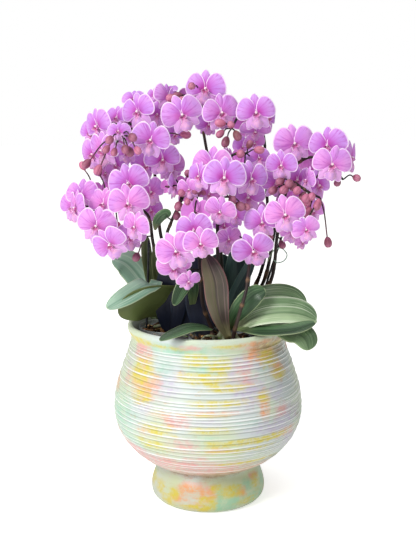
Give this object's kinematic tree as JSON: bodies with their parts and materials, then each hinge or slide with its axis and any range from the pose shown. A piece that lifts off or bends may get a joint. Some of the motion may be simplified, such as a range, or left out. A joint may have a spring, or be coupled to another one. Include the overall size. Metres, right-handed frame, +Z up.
{
  "type": "orchid in a vase",
  "caption": "Potted moth orchids with many purple flowers on arching spikes and strap leaves, in clear pots inside a ribbed, footed ceramic vase.",
  "frame": {"origin": "centre of the flat underside of the vase's foot, where it rests", "axes": "+Z up along the vase's turned axis, -Y towards the front from which the sprays are seen, +X to the viewer's right"},
  "size_m": [0.3343, 0.228, 0.5161],
  "materials": {
    "pastel_glaze": "satin",
    "clay_pebbles": "matte",
    "clear_plastic": "gloss",
    "bark_and_roots": "matte",
    "leaf_green": "satin",
    "stem_brown": "satin",
    "petal_purple": "satin",
    "stake_black": "matte"
  },
  "bodies": {
    "root": {"flower_centre_1": "petal_purple", "flower_centre_2": "petal_purple", "flower_centre_3": "petal_purple", "flower_front_low_1": "petal_purple", "flower_front_low_2": "petal_purple", "flower_front_low_3": "petal_purple", "flower_front_right_1": "petal_purple", "flower_left_low_1": "petal_purple", "flower_left_low_2": "petal_purple", "flower_left_low_3": "petal_purple", "flower_left_low_4": "petal_purple", "flower_left_low_5": "petal_purple", "flower_right_1": "petal_purple", "flower_right_2": "petal_purple", "flower_right_3": "petal_purple", "flower_right_4": "petal_purple", "flower_right_5": "petal_purple", "flower_right_low_1": "petal_purple", "flower_right_low_2": "petal_purple", "flower_right_low_3": "petal_purple", "flower_top_1": "petal_purple", "flower_top_2": "petal_purple", "flower_top_3": "petal_purple", "flower_top_right_1": "petal_purple", "flower_upper_left_1": "petal_purple", "flower_upper_left_2": "petal_purple", "flower_upper_left_3": "petal_purple", "flower_upper_left_4": "petal_purple", "leaf_centre_back": "leaf_green", "leaf_centre_round": "leaf_green", "leaf_centre_tall": "leaf_green", "leaf_front_narrow": "leaf_green", "leaf_left_back": "leaf_green", "leaf_left_olive": "leaf_green", "leaf_left_sage": "leaf_green", "leaf_left_upright": "leaf_green", "leaf_right_back": "leaf_green", "leaf_right_broad": "leaf_green", "leaf_right_drooping": "leaf_green", "leaf_right_low": "leaf_green", "pebble_fill": "clay_pebbles", "pot_back": "clear_plastic", "pot_front": "clear_plastic", "pot_left": "clear_plastic", "root_ball_back": "bark_and_roots", "root_ball_front": "bark_and_roots", "root_ball_left": "bark_and_roots", "spike_centre": "stem_brown", "spike_front_low": "stem_brown", "spike_front_right": "stem_brown", "spike_left_centre": "stem_brown", "spike_left_low": "stem_brown", "spike_right": "stem_brown", "spike_right_low": "stem_brown", "spike_top": "stem_brown", "spike_top_right": "stem_brown", "spike_upper_left": "stem_brown", "stake_left": "stake_black", "stake_right": "stake_black", "vase": "pastel_glaze"}
  },
  "joints": []
}
